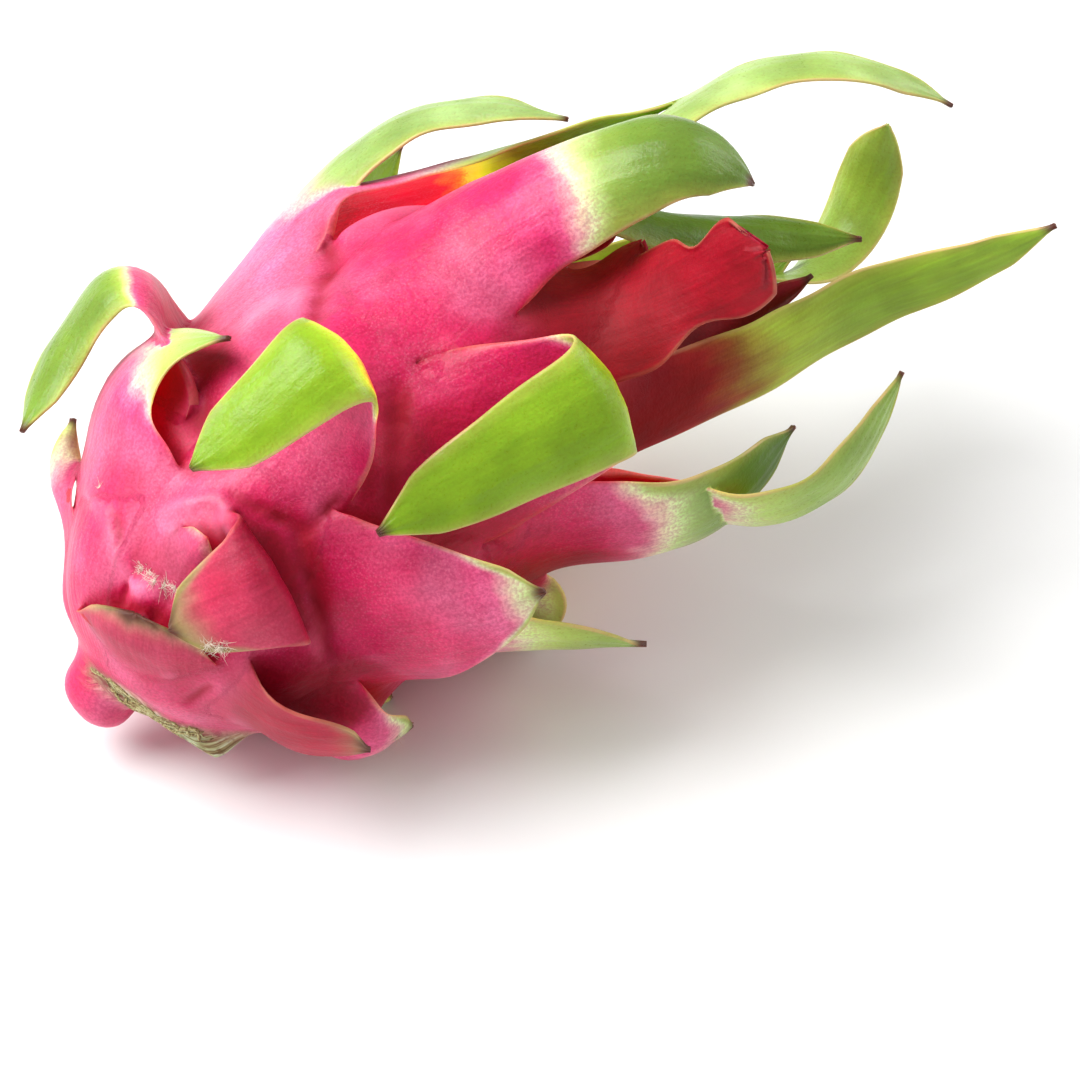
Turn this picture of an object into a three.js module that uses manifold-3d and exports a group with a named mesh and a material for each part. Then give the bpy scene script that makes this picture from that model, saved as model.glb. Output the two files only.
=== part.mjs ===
// Dragon fruit, whole, lying on its side: a swollen body under fleshy, leafy scales.
// Millimetres, +Z up. +X runs from the stem end to the flower end, and the origin is
// the middle of the small flat spot that the fruit rests on.

import * as THREE from 'three';
import Module from 'manifold-3d';
import { ParametricGeometry } from 'three/addons/geometries/ParametricGeometry.js';
import { mergeVertices } from 'three/addons/utils/BufferGeometryUtils.js';

// Body
const BODY_LENGTH = 128;
const BODY_RADIUS = 43;
const WIDEST_AT = 58;          // from the stem end
const BEND = 27;               // degrees, over the whole length
const BEND_TOWARDS = 124;      // the side that both ends bend to, in degrees round the fruit
const BODY_SIDES = 40;
const BODY_RINGS = 16;

// How the fruit lies
const LEAN = 18.7;             // degrees, flower end up
const BED = [43.4, 1.2, -26.1];  // the resting spot, seen from the stem end's middle

// Scales
const ROOT_DEPTH = 2;          // how deep a scale starts under the skin
const ROOT_SWELL = 5;          // extra thickness where it joins
const BLADE_THICKNESS = 2.6;
const THINNEST = 0.8;
const ACROSS = 4;              // facets over the width
const STRAIGHT_STEPS = 5;      // steps along a scale that doesn't bend
const BEND_STEP = 30;          // degrees of bending that add a step

// Under the root of each scale the skin swells into a cushion, with creases between them
const CUSHION = { height: 3.2, rise: 0.35, length: 30, spread: 0.75, back: 6 };

// Cut stem and the lobe beside it
const STUB = { length: 39, width: 12, depth: 11, rise: 1.5, offset: 6 };
const LOBE = { size: [8, 9, 11], at: -1.5, off: 12, turn: -112 };

// Each scale starts at a distance from the stem end, a number of degrees round the
// fruit from its top ridge. It rises by lift, curls about the point fold of its length
// over a stretch of span, sways sideways and twists about its midrib. aim turns its
// root, cup rounds its cross-section, full blunts its tip and neck narrows its root.
const COMMON = { aim: 0, lift: 25, curl: 0, fold: 0.6, span: 0.6, sway: 0, twist: 0, cup: 25,
  full: 1, neck: 0 };

const SCALES = [
  // stem end
  { at: 4, turn: -161, length: 33, width: 36, aim: 4, lift: 3, curl: -33, fold: 0.55, sway: 2,
    twist: 10, cup: 45, full: 1.6 },
  { at: 8, turn: -94, length: 34, width: 34, lift: 18, curl: -10, cup: 40, full: 1.4 },
  { at: 12, turn: -57, length: 38, width: 23, aim: 4, lift: 38, curl: -70, fold: 0.45, sway: -29,
    twist: -120, cup: 62, full: 0.7 },
  { at: 0, turn: 12, length: 27, width: 36, aim: 20, lift: 32, curl: -60, cup: 35, full: 2.4 },
  { at: 13, turn: 38, length: 74, width: 28, aim: 11, lift: 35, curl: 176, fold: 0.65, span: 0.5,
    sway: -41, twist: 25, cup: 0 },
  { at: 3, turn: 68, length: 46, width: 31, aim: 59, lift: 10, curl: -47, fold: 0.45, span: 0.7,
    sway: 41, twist: 10, cup: 40, full: 1.2 },
  { at: 10, turn: 94, length: 42, width: 37, aim: 42, lift: 24, curl: -65, fold: 0.65, span: 0.35,
    sway: 3, cup: 50, full: 1.2 },
  { at: 10, turn: 152, length: 35, width: 34, aim: -3, lift: 0, curl: -9, sway: -2, twist: -5,
    cup: 45, full: 1.5 },

  // first ring
  { at: 32, turn: -128, length: 79, width: 44, aim: 2, lift: 29, curl: 23, sway: 2, twist: 10, cup: 30 },
  { at: 40, turn: -48, length: 69, width: 32, aim: 17, lift: 49, curl: 125, fold: 0.45, span: 0.3,
    sway: 57, twist: 18, cup: 0, full: 1.1 },
  { at: 19, turn: -24, length: 61, width: 48, aim: -12, lift: 0, curl: -44, span: 0.5, sway: 73,
    twist: 27, cup: 31, full: 0.75 },
  { at: 36, turn: 22, length: 99, width: 37, aim: 14, lift: 48, curl: 142, span: 0.25, sway: -15,
    twist: 5, cup: 0 },
  { at: 24, turn: 79, length: 56, width: 52, aim: -5, lift: 28, curl: -20, cup: 30, full: 1.4,
    neck: 0.4 },
  { at: 36, turn: 118, length: 60, width: 46, lift: 22, curl: 10, cup: 20 },
  { at: 30, turn: 174, length: 44, width: 42, lift: 0, cup: 50 },

  // second ring
  { at: 58, turn: -148, length: 37, width: 44, aim: -2, lift: 25, curl: 64, span: 0.55, sway: -6,
    twist: 5, cup: 40 },
  { at: 56, turn: -108, length: 100, width: 42, lift: 45, curl: -20, cup: 30 },
  { at: 66, turn: -66, length: 124, width: 45, aim: -4, lift: 60, curl: -86, fold: 0.3, span: 0.2,
    sway: 19, twist: 12, cup: 53, full: 0.7 },
  { at: 49, turn: -30, length: 125, width: 41, aim: -29, lift: 0, curl: -38, fold: 0.75,
    span: 0.65, sway: 90, twist: -4, cup: 33 },
  { at: 63, turn: 51, length: 110, width: 34, aim: 12, lift: 31, curl: 152, fold: 0.5, span: 0.2,
    twist: -5, cup: 0 },
  { at: 65, turn: 105, length: 86, width: 46, aim: 3, lift: 41, curl: -53, fold: 0.65, sway: -3,
    twist: 10, cup: 30 },
  { at: 60, turn: 144, length: 37, width: 44, aim: 8, lift: 25, curl: 64, span: 0.55, sway: 19,
    twist: -10, cup: 40 },

  // third ring
  { at: 92, turn: -141, length: 80, width: 34, lift: 25, curl: -20, cup: 35 },
  { at: 76, turn: 0, length: 107, width: 45, aim: 1, lift: 11, curl: -68, fold: 0.85, span: 0.3,
    sway: 44, cup: 68, full: 1.2 },
  { at: 84, turn: 117, length: 104, width: 34, aim: -7, lift: 60, curl: -74, fold: 0.65, span: 0.5,
    sway: -26, twist: 15, cup: 20 },
  { at: 84, turn: 176, length: 43, width: 36, aim: 5, lift: 26, curl: 69, span: 0.55, sway: 12,
    twist: -10, cup: 35 },

  // crown
  { at: 104, turn: -176, length: 84, width: 26, lift: 20, curl: -10, cup: 35 },
  { at: 118, turn: -112, length: 119, width: 31, aim: -22, lift: 15, curl: 107, fold: 0.75,
    span: 0.55, sway: 7, twist: -140, cup: 40, full: 2 },
  { at: 112, turn: -51, length: 95, width: 40, aim: 19, lift: 0, curl: -22, fold: 0.3, sway: -23,
    twist: -70, cup: 70 },
  { at: 107, turn: -41, length: 130, width: 27, aim: 4, lift: 19, curl: -61, fold: 0.75,
    span: 0.55, sway: 23, twist: -35, cup: 20 },
  { at: 103, turn: 92, length: 130, width: 28, aim: 15, lift: 22, curl: 34, fold: 0.65, span: 0.2,
    sway: -35, twist: 20, cup: 15, full: 1.2 },

  // throat
  { at: 113, turn: -86, length: 44, width: 24, lift: 5, curl: -10, cup: 40, full: 2 },
  { at: 108, turn: 8, length: 39, width: 28, aim: 42, lift: 0, curl: 26, span: 0.2, sway: -56,
    twist: 15, cup: 70, full: 1.8 },
  { at: 112, turn: 32, length: 64, width: 24, aim: 31, lift: 68, curl: 17, sway: 7, twist: -40,
    cup: 15, full: 2.4 },
  { at: 114, turn: 64, length: 71, width: 18, aim: 28, lift: 0, curl: 20, sway: -46, twist: -35,
    cup: 70, full: 1.2 },
  { at: 113, turn: 114, length: 46, width: 24, lift: 10, curl: -10, cup: 40, full: 2 },
  { at: 113, turn: 174, length: 42, width: 24, lift: 10, curl: -10, cup: 40, full: 2 },
];

const X = new THREE.Vector3(1, 0, 0);
const radians = THREE.MathUtils.degToRad;
const smooth = THREE.MathUtils.smoothstep;

const wasm = await Module();
wasm.setup();

// A direction square to the axis, before the axis is bent
function spoke(turn) {
  return new THREE.Vector3(0, -Math.sin(radians(turn)), Math.cos(radians(turn)));
}

const BEND_SIDE = spoke(BEND_TOWARDS);
const BEND_OVER = spoke(BEND_TOWARDS + 90);

function bendAngle(station) {
  return radians(BEND) * (station / BODY_LENGTH - 0.5);
}

function axisPoint(station) {
  const radius = BODY_LENGTH / radians(BEND);
  const angle = bendAngle(station);
  return X.clone().multiplyScalar(BODY_LENGTH / 2 + radius * Math.sin(angle))
    .addScaledVector(BEND_SIDE, radius * (1 - Math.cos(angle)));
}

function outward(station, turn) {
  const angle = bendAngle(station);
  const round = radians(turn - BEND_TOWARDS);
  return X.clone().multiplyScalar(-Math.sin(angle) * Math.cos(round))
    .addScaledVector(BEND_SIDE, Math.cos(angle) * Math.cos(round))
    .addScaledVector(BEND_OVER, Math.sin(round));
}

function bodyRadius(station) {
  if (station < WIDEST_AT) {
    const t = Math.min((WIDEST_AT - station) / (WIDEST_AT + 2), 1);
    return BODY_RADIUS * (1 - t ** 2.3) ** 0.56;
  }
  const t = Math.min((station - WIDEST_AT) / (BODY_LENGTH + 15 - WIDEST_AT), 1);
  return BODY_RADIUS * (1 - t ** 2.3) ** 0.5;
}

function onBody(station, turn) {
  return axisPoint(station).addScaledVector(outward(station, turn), bodyRadius(station));
}

// A closed, merged mesh as a solid that can be cut and joined
function toSolid(geometry) {
  geometry.deleteAttribute('normal');
  geometry.deleteAttribute('uv');
  const merged = mergeVertices(geometry, 1e-4);
  const index = merged.index.array;
  const corners = [];
  for (let i = 0; i < index.length; i += 3) {
    const [a, b, c] = [index[i], index[i + 1], index[i + 2]];
    if (a !== b && b !== c && c !== a) corners.push(a, b, c);
  }
  const build = (order) => new wasm.Manifold(new wasm.Mesh({
    numProp: 3,
    vertProperties: new Float32Array(merged.attributes.position.array),
    triVerts: new Uint32Array(order),
  }));
  const solid = build(corners);
  return solid.volume() > 0 ? solid : build(corners.toReversed());
}

function toGeometry(solid) {
  const { vertProperties, triVerts } = solid.getMesh();
  const geometry = new THREE.BufferGeometry();
  geometry.setAttribute('position', new THREE.BufferAttribute(vertProperties, 3));
  geometry.setIndex(new THREE.BufferAttribute(triVerts, 1));
  geometry.computeVertexNormals();
  return geometry;
}

// How far the skin stands above the plain round body
function cushionHeight(station, turn) {
  let nearest = 1;
  for (const scale of SCALES) {
    const away = THREE.MathUtils.euclideanModulo(turn - scale.turn + 180, 360) - 180;
    const along = (station - scale.at + CUSHION.back) / CUSHION.length;
    const across = radians(away) * BODY_RADIUS / (scale.width * CUSHION.spread);
    nearest = Math.min(nearest, along ** 2 + across ** 2);
  }
  return CUSHION.height * (CUSHION.rise - nearest);
}

// Moves a shape made along Y, such as a lathe's, onto the bent axis
function ontoAxis(geometry, swelling = () => 0) {
  const position = geometry.attributes.position;
  for (let i = 0; i < position.count; i++) {
    const [x, y, z] = [position.getX(i), position.getY(i), position.getZ(i)];
    const turn = THREE.MathUtils.radToDeg(Math.atan2(x, z));
    const radius = Math.hypot(x, z);
    const point = axisPoint(y).addScaledVector(outward(y, turn), radius + swelling(y, turn, radius));
    position.setXYZ(i, point.x, point.y, point.z);
  }
  return geometry;
}

// The body is lathed, with a shallow cup and a dry stub where the flower was
function makeBody() {
  const profile = [new THREE.Vector2(0, 0.5)];
  for (let i = 0; i <= BODY_RINGS; i++) {
    const station = BODY_LENGTH * (1 - Math.cos(Math.PI * i / (BODY_RINGS + 1.5))) / 2;
    profile.push(new THREE.Vector2(bodyRadius(station), station));
  }
  profile.push(
    new THREE.Vector2(24, BODY_LENGTH), new THREE.Vector2(19, BODY_LENGTH - 1),
    new THREE.Vector2(12, BODY_LENGTH - 6), new THREE.Vector2(6, BODY_LENGTH - 7),
    new THREE.Vector2(4.5, BODY_LENGTH + 3), new THREE.Vector2(0, BODY_LENGTH + 4),
  );
  const swelling = (station, turn, radius) => cushionHeight(station, turn) * smooth(radius, 14, 28);
  return ontoAxis(new THREE.LatheGeometry(profile, BODY_SIDES), swelling);
}

// The cut stem: a flat rib end, fibrous, set across the stem end
function makeStub() {
  const geometry = new THREE.CylinderGeometry(0.86, 1, 1, 18);
  geometry.scale(STUB.width / 2, STUB.depth, STUB.length / 2);
  geometry.rotateX(Math.PI);
  geometry.translate(0, STUB.depth / 2 - STUB.rise, STUB.offset);
  geometry.rotateY(radians(BEND_TOWARDS));
  return ontoAxis(geometry);
}

function makeLobe() {
  const geometry = new THREE.SphereGeometry(1, 14, 8);
  geometry.scale(...LOBE.size);
  const place = axisPoint(LOBE.at).addScaledVector(outward(LOBE.at, LOBE.turn), LOBE.off);
  geometry.translate(place.x, place.y, place.z);
  return geometry;
}

// Turns one direction towards another, and that one away from the first
function swing(from, to, degrees) {
  const [c, s] = [Math.cos(radians(degrees)), Math.sin(radians(degrees))];
  const before = from.clone();
  from.multiplyScalar(c).addScaledVector(to, s);
  to.multiplyScalar(c).addScaledVector(before, -s);
}

// Follows a scale's midrib: a place and two directions at each step, with the steps
// closest together where it bends
function midrib(scale) {
  const { at, turn, length } = scale;
  const ahead = onBody(at + 0.5, turn).sub(onBody(at - 0.5, turn)).normalize();
  const sideways = onBody(at, turn + 1).sub(onBody(at, turn - 1));
  const out = sideways.clone().cross(ahead).normalize();
  sideways.crossVectors(ahead, out);
  swing(ahead, sideways, scale.aim);
  const place = onBody(at, turn).addScaledVector(out, -ROOT_DEPTH);
  const effort = (x) => STRAIGHT_STEPS * x + (scale.lift * smooth(x, 0, 0.42)
    + Math.abs(scale.curl) * smooth(x, scale.fold - scale.span / 2, scale.fold + scale.span / 2)
    + Math.abs(scale.sway) / 2 * smooth(x, 0.15, 1)
    + Math.abs(scale.twist) / 2 * smooth(x, 0.3, 1)) / BEND_STEP;
  const steps = Math.round(effort(1));
  const stops = [];
  const fine = 200;
  for (let i = 0; i <= fine; i++) {
    const [x0, x1] = [i / fine, (i + 1) / fine];
    if (effort(x0) >= effort(1) * stops.length / steps - 1e-9) {
      stops.push({ x: x0, place: place.clone(), sideways: sideways.clone(), out: out.clone() });
    }
    const gain = (amount, from, to) => amount * (smooth(x1, from, to) - smooth(x0, from, to));
    swing(ahead, out, gain(scale.lift, 0, 0.42)
      + gain(scale.curl, scale.fold - scale.span / 2, scale.fold + scale.span / 2));
    swing(ahead, sideways, gain(scale.sway, 0.15, 1));
    swing(sideways, out, gain(scale.twist, 0.3, 1));
    place.addScaledVector(ahead, length / fine);
  }
  return stops;
}

function halfWidth(scale, x) {
  const taper = (1 - Math.max((x - 0.25) / 0.75, 0) ** 1.15) ** 0.7;
  const shape = ((0.8 + 0.2 * smooth(x, 0, 0.2)) * taper) ** (1 / scale.full);
  const tip = Math.sqrt(Math.min((1 - x) / 0.1, 1));
  const root = 1 - scale.neck * (1 - smooth(x, 0, 0.42));
  return Math.max(scale.width / 2 * shape * tip * root, 0.45);
}

// One row of points round a scale: over its outer face and back under its inner face
function section(scale, stop) {
  const { x, place, sideways, out } = stop;
  const half = halfWidth(scale, x);
  const rootAngle = half / bodyRadius(scale.at) * 1.15;
  const cupAngle = radians(scale.cup) * Math.sqrt(half / (scale.width / 2));
  const angle = Math.max(rootAngle + (cupAngle - rootAngle) * smooth(x, 0.15, 0.6), 1e-3);
  const radius = half / angle;
  const swell = ROOT_SWELL * (1 - smooth(x, 0.18, 0.32));
  const points = [];
  for (const face of [1, -1]) {
    for (let i = 0; i <= ACROSS; i++) {
      const v = face * (2 * i / ACROSS - 1);
      const tilt = v * angle;
      const dive = 3 * v ** 4 * (1 - smooth(x, 0, 0.3));
      const blade = Math.max(BLADE_THICKNESS * (1 - 0.55 * x) * (1 - 0.7 * v * v), THINNEST) / 2;
      const depth = face > 0 ? blade : -blade - swell * (1 - 0.5 * v * v);
      points.push(place.clone()
        .addScaledVector(sideways, (radius + depth) * Math.sin(tilt))
        .addScaledVector(out, (radius + depth) * Math.cos(tilt) - radius - dive));
    }
  }
  return points;
}

function makeScale(settings) {
  const scale = { ...COMMON, ...settings };
  const rows = midrib(scale).map((stop) => section(scale, stop));
  const steps = rows.length - 1;
  const middle = (row) => row.reduce((sum, p) => sum.add(p), new THREE.Vector3())
    .divideScalar(row.length);
  const around = 2 * ACROSS + 2;
  return new ParametricGeometry((u, v, target) => {
    const i = Math.round(u * (steps + 2)) - 1;
    if (i < 0) target.copy(middle(rows[0]));
    else if (i > steps) target.copy(middle(rows[steps]));
    else target.copy(rows[i][Math.round(v * around) % around]);
  }, steps + 2, around);
}

// Leans the fruit and puts its resting spot at the origin
function layDown(geometry) {
  geometry.rotateY(radians(-LEAN));
  geometry.translate(-BED[0], -BED[1], -BED[2]);
  return geometry;
}

const below = new THREE.BoxGeometry(400, 400, 60).translate(0, 0, -30);
const parts = [makeBody(), makeStub(), makeLobe(), ...SCALES.map(makeScale)]
  .map((geometry) => toSolid(layDown(geometry)));
const whole = wasm.Manifold.union(parts).subtract(toSolid(below));
const [largest] = whole.decompose().sort((a, b) => b.volume() - a.volume());

const fruit = new THREE.Mesh(
  toGeometry(largest),
  new THREE.MeshStandardMaterial({ color: 0xd6336a, roughness: 0.5, metalness: 0 }),
);
fruit.name = 'fruit';

const group = new THREE.Group();
group.add(fruit);

export default group;
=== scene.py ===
import math

import bmesh
import bpy
import numpy as np
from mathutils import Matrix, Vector, kdtree, noise
from mathutils.bvhtree import BVHTree


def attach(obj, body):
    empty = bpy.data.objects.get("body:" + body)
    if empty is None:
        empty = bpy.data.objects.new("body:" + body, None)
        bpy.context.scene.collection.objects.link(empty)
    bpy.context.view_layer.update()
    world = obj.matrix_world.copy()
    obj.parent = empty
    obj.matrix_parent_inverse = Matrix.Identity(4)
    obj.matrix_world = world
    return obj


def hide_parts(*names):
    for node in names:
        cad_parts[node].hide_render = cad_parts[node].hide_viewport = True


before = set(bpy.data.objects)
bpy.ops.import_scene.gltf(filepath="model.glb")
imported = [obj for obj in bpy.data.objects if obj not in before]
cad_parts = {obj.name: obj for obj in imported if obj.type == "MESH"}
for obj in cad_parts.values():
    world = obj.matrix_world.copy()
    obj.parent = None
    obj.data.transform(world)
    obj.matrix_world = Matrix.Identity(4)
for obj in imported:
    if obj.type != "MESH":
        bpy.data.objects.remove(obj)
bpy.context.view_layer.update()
mm = 0.001
chance = np.random.default_rng(7)


# the body the scales grow on. A station is how far along it a place is, a turn how far round
body = {
    "length": 128, "radius": 43, "widestAt": 58,
    "bend": 27,            # degrees, over the whole length
    "bendTowards": 124,    # degrees round the fruit from its top ridge
    "pastStem": 2, "stemCurve": (2.3, 0.56),          # how far past its ends the outline would
    "pastFlower": 15, "flowerCurve": (2.3, 0.5),      # close, and how full it is on the way
    "stemEnd": [(1.5, 0.5), (4, 0.4), (7, 0.2)],      # radius and station of its end rings
    "flowerScar": [(24, 0), (19, -1), (12, -6), (6, -7), (4.5, 3), (1, 4)],
    "rings": 92, "sides": 168,
    "swells": 1.2, "relief": 0.45,     # unevenness of the skin, broad and fine
    "lean": 18.7,                      # degrees, flower end up
    "bed": (43.4, 1.2, -26.1),         # the resting spot, seen from the stem end's middle
}
# the pads under the scales, gone where the body is as thin as fade, with the share of painted shade in
# their creases, and the palest bloom
cushion = {"height": 5.2, "rise": 0.33, "length": 30, "spread": 0.75, "back": 6,
           "crease": 1.7, "creaseWidth": 0.15, "creaseShadeShare": 0.8, "fade": (14, 28)}
frost = {"at": 72, "turn": -24, "long": 13, "round": 22, "more": 1.6}


def smooth(x, low, high):
    t = np.clip((np.asarray(x, float) - low) / (high - low), 0, 1)
    return t * t * (3 - 2 * t)


def spoke(turn):
    turn = math.radians(turn)
    return np.array([0, -math.sin(turn), math.cos(turn)])


def turnFrom(start, turn):
    # the shortest way round from one turn to another, in degrees
    return (turn - start + 180) % 360 - 180


alongX = np.array([1.0, 0, 0])
bendSide = spoke(body["bendTowards"])
bendOver = spoke(body["bendTowards"] + 90)


def bendAngle(station):
    return math.radians(body["bend"]) * (np.asarray(station, float) / body["length"] - 0.5)


def axisPoint(station):
    radius = body["length"] / math.radians(body["bend"])
    angle = bendAngle(station)[..., None]
    return (alongX * (body["length"] / 2 + radius * np.sin(angle))
            + bendSide * radius * (1 - np.cos(angle)))


def outward(station, turn):
    angle = bendAngle(station)[..., None]
    around = np.radians(np.asarray(turn, float) - body["bendTowards"])[..., None]
    return (alongX * (-np.sin(angle) * np.cos(around))
            + bendSide * (np.cos(angle) * np.cos(around)) + bendOver * np.sin(around))


def bodyRadius(station):
    station, middle = np.asarray(station, float), body["widestAt"]
    low = np.clip((middle - station) / (middle + body["pastStem"]), 0, 1)
    high = np.clip((station - middle) / (body["length"] + body["pastFlower"] - middle), 0, 1)
    (a, b), (c, d) = body["stemCurve"], body["flowerCurve"]
    return body["radius"] * np.where(station < middle, (1 - low ** a) ** b, (1 - high ** c) ** d)


def onBody(station, turn):
    return axisPoint(station) + outward(station, turn) * bodyRadius(station)[..., None]


common = {
    "sunk": 2,                         # how deep the root lies under the skin
    "aim": 0,                          # degrees off the straight way to the flower end
    "fold": 0.6, "span": 0.6,          # where along it bends, and over how much of it
    "sway": 0, "twist": 0,             # degrees sideways, and about its own rib
    "full": 1,                         # how blunt its outline is
    "base": 0, "dive": 3,              # widening of the root, how deep its margins dive there
    "dents": [],                       # (margin, place along, depth), below 0 widens it
    "blur": 7, "rim": 6,               # mm over which it turns green, and its margins sooner
    "lush": 0.4, "red": 0,             # how dark the green is, how deep red it is
    "warm": 1, "dull": 0, "wax": 1,    # how red its inner face and how bright its painted glow, how brown its end, how pale its bloom and painted sheen
    "wave": 0.5, "rag": 0,             # unevenness of its margins and its end, in mm
}
blade = {
    "liftEnds": .42, "swayStarts": .15, "twistStarts": .3,     # as shares of its length
    "rootSwell": 5, "thickness": 2.6, "thinnest": 0.8, "narrowest": .9,
    "lip": 0.35, "tipLength": .1, "dentWidth": 0.11, "ribs": 3.5, "ribHeight": 0.12,
    "stepAlong": 1.75, "stepAcross": 1.75, "gather": 1.3,     # how far points gather at the margins
}
# for each one the station and turn of its root, its length and width, the degrees that it rises,
# bends along its length and turns its margins in, where its green starts, and what else it needs
scales = [
    # stem end
    (4, -161, 33, 36, 3, -33, 45, .85, dict(aim=4, fold=.55, sway=2, twist=10, full=1.6)),
    (8, -94, 27, 34, 18, -10, 40, .8, dict(full=1.4)),
    (12, -57, 38, 17, 38, -70, 62, .72, dict(aim=4, fold=.45, sway=-29, twist=-120, full=.7, blur=9,
         red=.2, wax=1.6)),
    (1, 46, 26, 40, 20, -45, 30, .97, dict(aim=-35, full=2.2, blur=4, rim=3, red=.65, dull=.5,
         wave=.8)),
    (20.5, 37, 52, 31, 42, 150, -25, .93, dict(aim=22, fold=.5, span=.3, sway=-6, full=1.6, blur=5,
         rim=9, red=.6, warm=.15, dull=.8)),
    (3, 80, 42, 36, 30, -40, 25, .97, dict(aim=10, sway=30, full=1.6, blur=5, rim=4, red=.85,
         warm=.4, dull=.6, wave=1)),
    (19, 18, 19, 16, 45, -40, 60, 1.3, dict(aim=22, full=2, red=.35, wave=.6, rag=.3)),
    (10, 94, 42, 37, 24, -65, 50, .85, dict(aim=42, fold=.65, span=.35, sway=3, full=1.2, lush=.8)),
    (10, 152, 35, 34, 0, -9, 45, .8, dict(aim=-3, sway=-2, twist=-5, full=1.5)),

    # first ring
    (32, -128, 79, 44, 29, 23, 30, .5, dict(aim=2, sway=2, twist=10)),
    (40, -48, 78, 25, 47, 132, -32, .47, dict(aim=17, fold=.46, span=.3, sway=57, twist=18,
         full=1.6, base=1.15, dive=1.5, blur=1.6, rim=2, lush=.6, warm=.2, wax=.3)),
    (19, -24, 61, 44, 0, -44, 31, .64, dict(sunk=.7, aim=-12, span=.5, sway=73, twist=27, full=.75,
         blur=5, rim=2, lush=.2, wax=1.5)),
    (38, 21.5, 94, 28, 48, 142, -32, .54, dict(aim=10, fold=.585, span=.25, sway=-15, twist=5,
         full=1.8, base=.15, blur=2.5, lush=.3)),
    (24.5, 65, 58, 52, 28, -20, 30, .93, dict(aim=18, blur=5, rim=9, dull=.3)),
    (36, 118, 60, 46, 22, 10, 20, .55, dict()),
    (30, 174, 44, 42, 0, 0, 50, .7, dict()),

    # second ring
    (58, -148, 37, 44, 25, 64, 40, .6, dict(aim=-2, span=.55, sway=-6, twist=5)),
    (56, -108, 100, 42, 45, -20, 30, .5, dict()),
    (66, -66, 124, 45, 60, -86, 53, .56, dict(aim=-4, fold=.3, span=.2, sway=19, twist=12, full=.7,
         blur=6, lush=.2, wax=2)),
    (49.5, -35.7, 124.9, 37.3, .7, -41, 33, .46, dict(aim=-28.3, fold=.73, span=.49, sway=82.5,
         twist=-6.5, full=.86, base=.19, dive=.5,
         dents=[(-1, .28, .42), (1, .48, .11), (1, .16, -.24)], blur=6, lush=.6, wax=2.6)),
    (62.5, 51, 116, 31, 31, 152, -28, .46, dict(aim=12, fold=.488, span=.2, twist=-5, full=1.5,
         base=.4, dive=2, blur=2.5, lush=.35)),
    (65, 105, 86, 46, 41, -53, 30, .55, dict(aim=3, fold=.65, sway=-3, twist=10, lush=.8)),
    (60, 144, 37, 44, 25, 64, 40, .6, dict(aim=8, span=.55, sway=19, twist=-10)),

    # third ring
    (92, -141, 80, 34, 25, -20, 35, .5, dict()),
    (76, 0, 107, 43, 10, -78, 68, .58, dict(aim=1, fold=.85, span=.3, sway=44, full=1.6, dive=5,
         blur=6, rim=2, lush=.75, wax=.3)),
    (84, 117, 103, 34, 60, -74, 20, .5, dict(aim=-7, fold=.65, span=.5, sway=-26, twist=15)),
    (84, 176, 43, 36, 26, 69, 35, .5, dict(aim=5, span=.55, sway=12, twist=-10)),

    # crown
    (104, -176, 84, 26, 20, -10, 35, .45, dict()),
    (118, -112, 120, 25, 15, 107, 40, .3, dict(aim=-22, fold=.75, span=.55, sway=7, twist=-140,
         full=2.3, lush=0, wax=.5, rag=.4)),
    (112, -51, 95, 30, 0, -22, 60, .3, dict(aim=19, fold=.3, sway=-20, twist=-70, lush=.8, wax=0)),
    (107, -41, 130, 27, 19, -61, 20, .3, dict(aim=4, fold=.75, span=.55, sway=23, twist=-35,
         wax=2.2)),
    (103, 92, 130, 25, 22, 34, 15, .38, dict(aim=15, fold=.65, span=.2, sway=-35, twist=20,
         full=1.2, blur=13, lush=0, red=1, wax=.4)),

    # throat
    (113, -86, 44, 24, 5, -10, 40, 1.5, dict(full=2, red=1, rag=2)),
    (108, 8, 40, 35, 0, 26, 70, 1.5, dict(aim=42, span=.2, sway=-56, twist=15, full=1.8, red=1,
         rag=2)),
    (112, 32, 66, 28, 68, 17, 20, 1.5, dict(aim=31, sway=3, twist=-40, full=2.8,
         dents=[(-1, .69, .42), (1, .6, .35)], red=1, wave=1.2, rag=3)),
    (114, 64, 71, 18, 0, 20, 70, 1.4, dict(aim=28, sway=-46, twist=-35, full=1.2, red=1, wave=.8)),
    (113, 114, 46, 24, 10, -10, 40, 1.5, dict(full=2, red=1, rag=2)),
    (113, 174, 42, 24, 10, -10, 40, 1.5, dict(full=2, red=1, rag=2)),
]
rowNames = ("at", "turn", "length", "width", "lift", "curl", "cup", "green")
scales = [{**common, **dict(zip(rowNames, row)), **row[-1]} for row in scales]

solids = []     # closed meshes to be joined
known = []      # what is known at each of their points


def roughly(points, size, seed):
    # smooth noise from -1 to 1 at each point, with bumps of the given size
    shift = Vector((seed * 17.3, seed * 5.1, seed * 9.7))
    flat = np.asarray(points, float).reshape(-1, 3) / size
    values = [noise.noise(Vector(p) + shift) for p in flat]
    return np.array(values).reshape(np.shape(points)[:-1])


def layDown(points):
    # leans the fruit and puts its resting spot at the origin
    lean = math.radians(body["lean"])
    x, y, z = np.moveaxis(points, -1, 0)
    leant = np.stack([x * math.cos(lean) - z * math.sin(lean), y,
                      x * math.sin(lean) + z * math.cos(lean)], -1)
    return leant - np.array(body["bed"])


def addThing(name, data):
    thing = bpy.data.objects.new(name, data)
    bpy.context.scene.collection.objects.link(thing)
    return thing


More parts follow.
